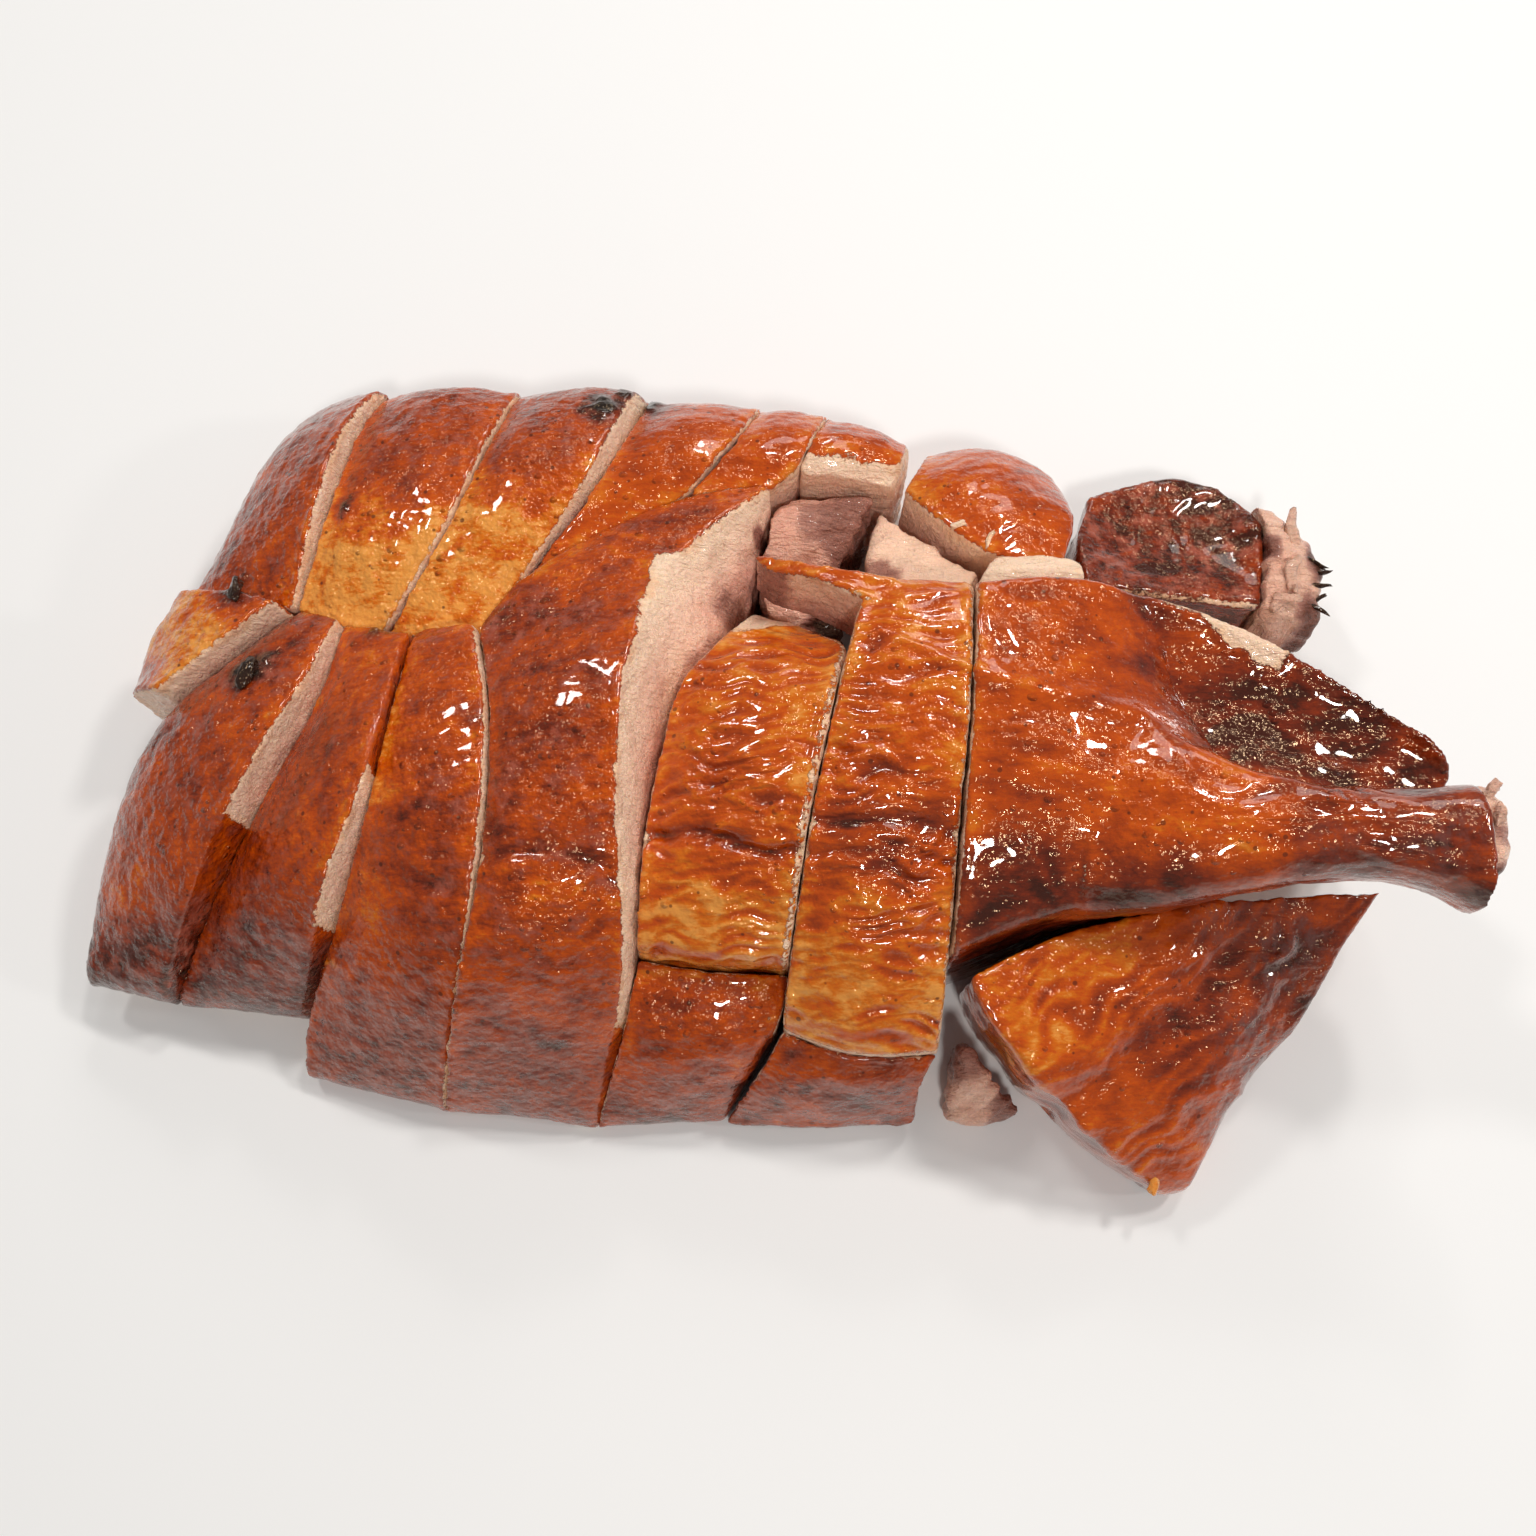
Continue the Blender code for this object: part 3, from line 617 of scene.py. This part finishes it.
def dress(node, material, details):
    # makes the visible piece for a node
    look = placeMarks(node, {**plainLook, **details})
    mesh, skinTree, cutTree = roundSolid(node, look)
    seed = len(node) * 1.7 + sum(map(ord, node)) % 13
    shape = bmesh.new()
    shape.from_mesh(mesh)
    bmesh.ops.smooth_vert(shape, verts=shape.verts, factor=0.5,
                          use_axis_x=True, use_axis_y=True, use_axis_z=True)
    shape.normal_update()
    layers = [shape.verts.layers.float.new(name) for name in layerNames]
    moves = []
    for vertex in shape.verts:
        p = vertex.co / mm
        edge, drop = edgeAt(p, gapTo(skinTree, vertex.co), gapTo(cutTree, vertex.co),
                            max(vertex.normal.z, 0), look, seed)
        move, tone, burn, wrinkle = surfaceAt(p, edge, look, seed)
        # how strongly a painted purple sheen covers the point
        paintedSheen = patchAt(p, look["paintedSheens"], 1.4, 6, seed)
        # how strongly juice stains and painted shade darken the meat at the point
        stainAndShade = patchAt(p, look["stainsAndShade"], 1.5, 5, seed)
        moves.append((move if p.z > footing else 0.0, drop))
        for layer, value in zip(layers, (edge, tone, burn, paintedSheen, wrinkle, stainAndShade)):
            vertex[layer] = value
    for vertex, (move, drop) in zip(shape.verts, moves):
        vertex.co += vertex.normal * move * mm
        vertex.co.z = max(vertex.co.z - drop * mm, 0.0)
    addBits(shape, layers, look["bits"], seed)
    for face in shape.faces:
        face.smooth, face.material_index = True, 0
    shape.to_mesh(mesh)
    shape.free()
    mesh.materials.clear()
    mesh.materials.append(material)
    mesh.name = node + "_look"
    piece = bpy.data.objects.new(node + "_look", mesh)
    scene.collection.objects.link(piece)
    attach(piece, "root")
    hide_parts(node)


def frontRow():
    dress("front_slice_1", brownRoast, {
        "lie": 33, "outer": ("left", "back"), "pebble": 0.16, "folds": (0.15, 6, 2.5, 0.6),
        "tones": [(0.45, 0.36, 0.10), (0.78, 0.7, 0.55), (0.12, 0.1, 0.6), (0.22, 0.59, 0.12),
                  (0.6, 0.5, 0.2)],
        "burns": [(0.68, 0.87, 2.4, 1.0)],
        "bits": [(0.7, 0.85, "burnt", 4, 3.4, 2.6, 30)]})
    dress("front_slice_2", brownRoast, {
        "lie": 62, "outer": ("left", "front"), "pebble": 0.13, "folds": (0.3, 9, 3, 0.9),
        "tones": [(0.83, 0.91, 0.6), (0.55, 0.52, 0.64), (0.71, 0.58, 0.5), (0.25, 0.26, 0.4),
                  (0.3, 0.08, 0.95), (0.1, 0.05, 0.95), (0.16, 0.64, 0.85), (0.38, 0.35, 0.52),
                  (0.3, 0.5, 0.52)],
        "burns": [(0.69, 0.79, 2.6, 1.0), (0.76, 0.83, 1.7, 0.9), (0.14, 0.64, 2.6, 0.6)],
        "paintedSheens": [(0.2, 0.03, 8, 0.9), (0.35, 0.2, 7, 0.5)],
        "cover": [(0.40, 0.02, 7)],
        "bare": [[(0.73, 0.48), (0.67, 0.33), (0.61, 0.2), (0.56, 0.1), (0.63, 0.13), (0.76, 0.3),
                  (0.9, 0.48)]],
        "bits": [(0.7, 0.79, "burnt", 6, 3.6, 2.4, 35), (0.16, 0.62, "burnt", 4, 3, 2, 80),
                 (0.10, 0.66, "burnt", 3, 2.4, 2, 20)]})
    dress("front_slice_3", brownRoast, {
        "lie": 65, "outer": ("front",), "pebble": 0.12, "folds": (0.3, 9, 3, 0.9),
        "tones": [(0.84, 0.9, 0.45), (0.61, 0.63, 0.62), (0.8, 0.51, 0.48), (0.76, 0.37, 0.46),
                  (0.29, 0.28, 0.62), (0.45, 0.14, 0.76), (0.3, 0.04, 0.95)],
        "burns": [(0.86, 0.97, 1.4, 0.7)],
        "paintedSheens": [(0.3, 0.06, 9, 0.9), (0.5, 0.12, 7, 0.5)],
        "skinned": [[(1.2, 0.44), (1.0, 0.5), (0.84, 0.62), (0.84, 1.1), (1.2, 1.1)]],
        "bare": [[(0.77, 0.29), (0.74, 0.16), (0.715, 0.03), (0.75, 0.0), (0.82, 0.1), (0.95, 0.29)]]})
    dress("front_slice_4", brownRoast, {
        "lie": 84, "outer": ("front",), "pebble": 0.1, "folds": (0.35, 10, 3.2, 0.1),
        "tones": [(0.74, 0.93, 0.46), (0.83, 0.72, 0.54), (0.65, 0.53, 0.58), (0.72, 0.3, 0.64),
                  (0.37, 0.16, 0.7), (0.5, 0.69, 0.36), (0.5, 0.35, 0.4), (0.4, 0.08, 0.75)],
        "paintedSheens": [(0.35, 0.05, 5, 0.2)],
        "creases": [([(0.75, 0.42), (0.9, 0.4), (1.0, 0.38)], 1.2, 0.6, 0.2)]})
    dress("front_slice_5", brownRoast, {
        "lie": 82, "outer": ("front",), "pebble": 0.1, "folds": (0.4, 13, 3.6, 0.05), "tear": 0.22,
        "tones": [(0.2, 0.77, 0.66), (0.37, 0.84, 0.44), (0.93, 0.97, 0.4), (0.72, 0.96, 0.6),
                  (0.51, 0.69, 0.56), (0.26, 0.6, 0.66), (0.3, 0.46, 0.66), (0.5, 0.47, 0.6),
                  (0.42, 0.37, 0.66), (0.27, 0.26, 0.6), (0.52, 0.27, 0.5), (0.31, 0.09, 0.68),
                  (0.40, 0.31, 0.34), (0.36, 0.2, 0.5)],
        "paintedSheens": [(0.31, 0.06, 9, 0.6)],
        "stainsAndShade": [(0.84, 0.70, 6, 0.34), (0.78, 0.62, 6, 0.3), (0.88, 0.8, 4, 0.4),
                   (0.74, 0.52, 5, 0.22), (0.68, 0.42, 4, 0.2), (1.0, 0.84, 4.5, 1.0),
                   (0.95, 0.76, 3, 0.9), (0.98, 0.93, 2.5, 0.7)],
        "creases": [([(0.18, 0.36), (0.42, 0.37), (0.56, 0.33)], 1.4, 0.8, 0.25)],
        "bare": [[(0.57, 0.5), (0.585, 0.62), (0.62, 0.76), (0.65, 0.85), (0.79, 0.87), (0.96, 0.9),
                  (1.2, 0.9), (1.2, 0.5)]]})
    dress("front_slice_6", amberRoast, {
        "lie": 96, "outer": ("front",), "voxel": 0.65, "pebble": 0.05, "folds": (1.3, 10, 2.1, -0.06),
        "trim": (0.0, 1.0), "bareDrop": 3.0,
        "tones": [(0.66, 0.85, 0.28), (0.52, 0.66, 0.3), (0.24, 0.62, 0.38), (0.52, 0.41, 0.36),
                  (0.2, 0.41, 0.38), (0.39, 0.27, 0.38), (0.3, 0.1, 0.1), (0.34, 0.02, 0.2)],
        "stainsAndShade": [(0.05, 0.9, 3.5, 0.9), (0.12, 1.02, 4, 0.8)],
        "wrinkles": [(0.3, 0.6, 8, 0.9), (0.45, 0.45, 9, 0.9), (0.55, 0.72, 5, 0.3)],
        "creases": [([(0.0, 0.31), (0.3, 0.31), (0.6, 0.26), (0.8, 0.25)], 1.2, 1.6, 0.4)],
        "bare": [[(-0.1, 0.68), (0.28, 0.84), (0.45, 0.87), (0.66, 0.91), (0.99, 0.96), (1.1, 1.2),
                  (-0.1, 1.2)]]})
    dress("front_slice_7", amberRoast, {
        "lie": 97, "voxel": 0.65, "pebble": 0.05, "folds": (1.3, 10, 2.1, -0.04), "trim": (0.3, 0.5),
        "tones": [(0.07, 1.01, 0.36), (0.35, 0.96, 0.36), (0.74, 0.82, 0.32), (0.63, 0.57, 0.36),
                  (0.63, 0.47, 0.45), (0.54, 0.38, 0.52), (0.55, 0.22, 0.34), (0.46, 0.11, 0.16),
                  (0.47, 0.02, 0.24)],
        "stainsAndShade": [(0.05, 0.95, 5, 0.5)],
        "wrinkles": [(0.5, 0.55, 9, 0.6), (0.55, 0.38, 10, 1.0), (0.6, 0.25, 8, 0.7)],
        "creases": [([(0.2, 0.42), (0.5, 0.42), (0.9, 0.4)], 1.2, 1.3, 0.35),
                    ([(0.15, 0.36), (0.6, 0.36), (0.9, 0.34)], 1.1, 0.9, 0.2),
                    ([(0.55, 0.8), (0.75, 0.75), (0.99, 0.7)], 0.9, -0.7, -0.05)]})
    print("front row dressed")


def sidePieces():
    dress("side_piece_1", brownRoast, {
        "outer": ("front",), "folds": (0.4, 14, 4, 0.1),
        "tones": [(0.3, 0.47, 0.56), (0.76, 0.77, 0.5), (0.51, 0.66, 0.52), (0.33, 0.11, 0.72)]})
    dress("side_piece_2", brownRoast, {
        "folds": (0.5, 14, 4, 0.1), "tear": 0.3,
        "tones": [(0.36, 0.72, 0.6), (0.07, 0.3, 0.72), (0.79, 0.5, 0.72)],
        "stainsAndShade": [(0.3, 0.0, 12, 0.6), (0.7, 0.0, 12, 0.6)]})
    dress("meat_chunk", darkMeat, {
        "soft": True, "skinless": 3.0, "tear": 0.8,
        "stainsAndShade": [(0.2, 0.8, 4, 0.5), (0.8, 0.2, 4, 0.6)]})
    print("side pieces dressed")


def legAndFlap():
    dress("leg_quarter", amberRoast, {
        "outer": ("front", "back", "right"), "spread": (89, 89), "voxel": 0.75, "pebble": 0.06,
        "folds": (0.45, 16, 4, -0.2),
        "tones": [(0.17, 0.78, 0.42), (0.29, 0.84, 0.46), (0.23, 0.38, 0.4), (0.41, 0.28, 0.4),
                  (0.08, 0.43, 0.5), (0.15, 0.15, 0.9), (0.38, 0.14, 0.95), (0.69, 0.24, 0.7),
                  (0.9, 0.21, 0.74), (0.6, 0.66, 0.97), (0.79, 0.72, 0.9), (0.96, 0.52, 0.8),
                  (0.48, 0.82, 0.66), (0.52, 0.3, 0.36)],
        "paintedSheens": [(0.9, 0.25, 9, 0.5), (0.7, 0.2, 7, 0.4)],
        "wrinkles": [(0.8, 0.3, 12, 0.9), (0.68, 0.3, 10, 0.7), (0.6, 0.85, 9, 0.4),
                     (0.8, 0.72, 9, 0.5), (0.3, 0.12, 9, 0.5)],
        "creases": [([(0.05, 0.69), (0.2, 0.64), (0.37, 0.6), (0.44, 0.5), (0.55, 0.42),
                      (0.7, 0.36)], 2.2, -1.1, -0.08)],
        "bare": [[(0.4, 0.98), (0.44, 0.93), (0.5, 0.905), (0.56, 0.85), (0.62, 0.785), (0.68, 0.74),
                  (0.7, 0.85), (0.6, 1.0), (0.4, 1.2)]],
        "bits": [(0.445, 0.965, "curl", 6, 1.6, 1.4, 125)]})
    dress("leg_bone", darkMeat, {
        "voxel": 0.5, "skinless": 1.0, "tear": 0.5,
        "stainsAndShade": [(0.5, 0.0, 3.2, 0.9), (0.5, 0.45, 2.2, 0.45)],
        "bits": [(0.4, 0.9, "bone", 3, 3, 3, 0), (0.4, 0.6, "bone", 2.6, 3.6, 2.6, 0)]})
    dress("belly_flap", amberRoast, {
        "outer": ("front", "left", "right", "back"), "spread": (50, 62), "pebble": 0.06,
        "folds": (0.6, 12, 4, 0.7),
        "tones": [(0.14, 0.62, 0.24), (0.3, 0.75, 0.28), (0.07, 0.71, 0.36), (0.45, 0.45, 0.62),
                  (0.46, 0.6, 0.5), (0.55, 0.76, 0.58), (0.38, 0.35, 0.46), (0.67, 0.48, 0.66),
                  (0.77, 0.77, 0.7), (0.87, 0.9, 0.66), (0.52, 0.06, 0.42), (0.42, 0.16, 0.44)],
        "paintedSheens": [(0.67, 0.48, 9, 0.8), (0.77, 0.77, 9, 0.8), (0.6, 0.9, 6, 0.6), (0.6, 0.25, 6, 0.6)],
        "wrinkles": [(0.67, 0.48, 10, 0.9), (0.77, 0.77, 12, 0.9), (0.45, 0.7, 8, 0.6)],
        "creases": [([(0.12, 0.36), (0.37, 0.6), (0.47, 0.76), (0.57, 0.92)], 4, -1.2, -0.06),
                    ([(0.22, 0.28), (0.45, 0.5), (0.62, 0.78)], 3, 0.9, 0.12),
                    ([(0.5, 0.3), (0.62, 0.5), (0.75, 0.8)], 3.5, -0.9, 0.0)],
        "cover": [(0.46, 0.06, 7)],
        "bits": [(0.46, 0.045, "crumb", 4, 3, 1.6, 35)]})
    print("leg and flap dressed")


def backRow():
    dress("back_slice_1", brownRoast, {
        "lie": 78, "outer": ("left", "back"), "pebble": 0.14, "folds": (0.3, 8, 3, 1.2),
        "tones": [(0.68, 0.92, 0.62), (0.52, 0.59, 0.58), (0.32, 0.32, 0.66), (0.51, 0.77, 0.66),
                  (0.64, 0.17, 0.46)]})
    dress("back_slice_2", brownRoast, {
        "lie": 70, "outer": ("back",), "pebble": 0.18, "folds": (0.3, 8, 3, 1.2),
        "tones": [(0.57, 0.86, 0.62), (0.71, 0.68, 0.55), (0.48, 0.56, 0.58), (0.31, 0.18, 0.04),
                  (0.6, 0.24, 0.04), (0.45, 0.35, 0.3)],
        "burns": [(0.21, 0.44, 1.6, 0.9)],
        "wrinkles": [(0.55, 0.75, 10, 0.8)]})
    dress("back_slice_3", brownRoast, {
        "lie": 66, "outer": ("back",), "pebble": 0.14, "folds": (0.3, 8, 3, 1.2),
        "tones": [(0.77, 0.89, 0.68), (0.59, 0.63, 0.56), (0.32, 0.32, 0.14), (0.48, 0.26, 0.12),
                  (0.71, 0.46, 0.32), (0.66, 0.78, 0.64)],
        "burns": [(0.82, 0.83, 2.6, 1.0), (0.9, 0.91, 1.8, 0.8)],
        "wrinkles": [(0.6, 0.75, 10, 0.8)]})
    dress("back_slice_4", amberRoast, {
        "lie": 62, "outer": ("back",), "folds": (0.25, 12, 3, 0.3),
        "tones": [(0.58, 0.93, 0.58), (0.73, 0.88, 0.42), (0.57, 0.51, 0.44), (0.32, 0.31, 0.36)],
        "burns": [(0.5, 0.95, 2.4, 1.0)]})
    dress("back_slice_5", amberRoast, {
        "lie": 58, "outer": ("back",), "folds": (0.25, 12, 3, 0.3),
        "tones": [(0.73, 0.8, 0.44), (0.44, 0.42, 0.38)],
        "stainsAndShade": [(0.3, 0.1, 5, 0.3)]})
    dress("back_slice_6", amberRoast, {
        "lie": 62, "outer": ("back",), "folds": (0.25, 12, 3, 0.3), "bareDrop": 2.0,
        "tones": [(0.53, 0.63, 0.44), (0.44, 0.23, 0.38)],
        "bare": [[(-0.1, 0.2), (0.1, 0.3), (0.35, 0.27), (0.6, 0.24), (1.1, 0.3), (1.1, -0.2),
                  (-0.1, -0.2)]]})
    dress("back_slice_7", amberRoast, {
        "outer": ("back", "right"), "folds": (0.3, 12, 3, 0.3),
        "tones": [(0.2, 0.53, 0.34), (0.55, 0.36, 0.4), (0.8, 0.6, 0.46)],
        "bare": [[(-0.1, 0.68), (0.02, 0.55), (0.16, 0.38), (0.33, 0.2), (0.5, 0.04), (0.4, -0.1),
                  (-0.1, -0.1)]],
        "bits": [(0.29, 0.27, "curl", 3.0, 1.6, 0.8, -20), (0.47, 0.16, "curl", 4.5, 1, 1, 60)]})
    print("back row dressed")


def innerPieces():
    dress("inner_meat", darkMeat, {
        "skinless": 5.0, "tear": 1.0,
        "stainsAndShade": [(0.8, 0.75, 9, 0.6), (0.5, 0.8, 5, 0.45), (0.95, 0.4, 5, 0.8), (0.62, 0.2, 5, 1.1),
                   (0.85, 0.1, 6, 1.0)]})
    dress("meat_wedge", brownRoast, {
        "skinless": 6.0, "tear": 0.5,
        "stainsAndShade": [(0.1, 0.3, 5, 0.5), (0.6, 0.05, 4, 0.3)]})
    dress("meat_strip", brownRoast, {
        "skinless": 2.8, "tear": 0.3})
    dress("bony_piece", brownRoast, {
        "outer": ("front", "back", "left", "right"), "spread": (89, 89), "lumps": 0.8,
        "folds": (0.8, 16, 5, 1.1), "golden": 0.0,
        "tones": [(0.5, 0.5, 0.9), (0.85, 0.6, 0.95), (0.85, 0.1, 0.82), (0.3, 0.2, 0.85)],
        "swells": [(0.95, 0.6, 3, 1.5)]})
    dress("rump_bone", darkMeat, {
        "skinless": 2.0, "lumps": 1.0, "tear": 0.9,
        "stainsAndShade": [(0.9, 0.5, 4, 0.9), (0.8, 0.1, 4, 0.8), (0.15, 0.6, 3, 0.7)],
        "bits": [(0.6, 0.7, "bone", 12, 3, 3, 80), (0.45, 0.35, "bone", 9, 3, 3, 70),
                 (0.3, 0.15, "bone", 7, 3, 2.6, 30), (0.85, 0.5, "burnt", 6, 1, 1, -25),
                 (0.9, 0.42, "burnt", 5, 0.9, 0.9, 5), (0.86, 0.34, "burnt", 6, 1, 1, -10),
                 (0.9, 0.25, "burnt", 5, 1, 1, 15), (0.82, 0.16, "burnt", 6, 0.9, 0.9, -35)]})
    print("inner pieces dressed")


frontRow()
sidePieces()
legAndFlap()
backRow()
innerPieces()


def paleFloor():
    look = {"size": 6, "drop": 0.0002, "colour": (0.86, 0.86, 0.86, 1), "roughness": 0.6}
    bpy.ops.mesh.primitive_plane_add(size=look["size"], location=(0, 0, -look["drop"]))
    floor = bpy.context.object
    floor.name = "floor"
    material, shader = newMaterial("paleFloor")
    shader.inputs["Base Color"].default_value = look["colour"]
    shader.inputs["Roughness"].default_value = look["roughness"]
    floor.data.materials.append(material)


softWhite, warmWhite = (1, 0.98, 0.95), (1, 0.97, 0.93)
lamps = {  # place, size, power and colour
    "softPanel": ((0.25, 1.1, 0.8), 0.45, 2.2, softWhite),
    "spotRight": ((0.55, 0.34, 0.9), 0.13, 2.8, warmWhite),
    "spotLeft": ((-0.44, 0.5, 0.85), 0.13, 1.9, warmWhite),
    "spotBack": ((0.05, 0.85, 0.7), 0.10, 0.7, warmWhite),
    "spotFront": ((0.1, -0.6, 1.05), 0.13, 4.2, warmWhite),
    "spotTop": ((0.28, 0.55, 1.0), 0.10, 2.3, warmWhite),
    "spotSide": ((0.95, -0.1, 0.65), 0.10, 1.2, warmWhite)}


def lampsAndRoom():
    # round lamps that all shine on the middle of the duck, in a softly lit room
    for name, (place, size, power, colour) in lamps.items():
        light = bpy.data.lights.new(name, "AREA")
        light.shape, light.size, light.energy, light.color = "DISK", size, power, colour
        holder = bpy.data.objects.new(name, light)
        holder.location = place
        holder.rotation_euler = (-Vector(place)).to_track_quat("-Z", "Y").to_euler()
        scene.collection.objects.link(holder)
    world = bpy.data.worlds.new("softRoom")
    scene.world = world
    world.use_nodes = True
    background = world.node_tree.nodes["Background"]
    background.inputs["Color"].default_value = (1, 1, 1, 1)
    background.inputs["Strength"].default_value = 0.22


def placeCamera():
    view = {"aim": (0.0046, -0.0085, 0.048), "distance": 0.2898, "pitch": 74, "lens": 36, "sensor": 36,
            "nearest": 0.01}
    pitch = math.radians(view["pitch"])
    data = bpy.data.cameras.new("camera")
    data.lens, data.sensor_width, data.clip_start = view["lens"], view["sensor"], view["nearest"]
    camera = bpy.data.objects.new("camera", data)
    back = Vector((0, -math.cos(pitch), math.sin(pitch))) * view["distance"]
    camera.location = Vector(view["aim"]) + back
    camera.rotation_euler = (math.pi / 2 - pitch, 0, 0)
    scene.collection.objects.link(camera)
    scene.camera = camera
    scene.view_settings.view_transform = "Standard"


paleFloor()
lampsAndRoom()
placeCamera()
print("floor, lamps and camera placed")

triangles = {name: sum(len(p.vertices) - 2 for p in mesh.polygons)
             for name, mesh in bpy.data.meshes.items() if name.endswith("_look")}
print("triangles in all", sum(triangles.values()), "most in one piece", max(triangles.values()))
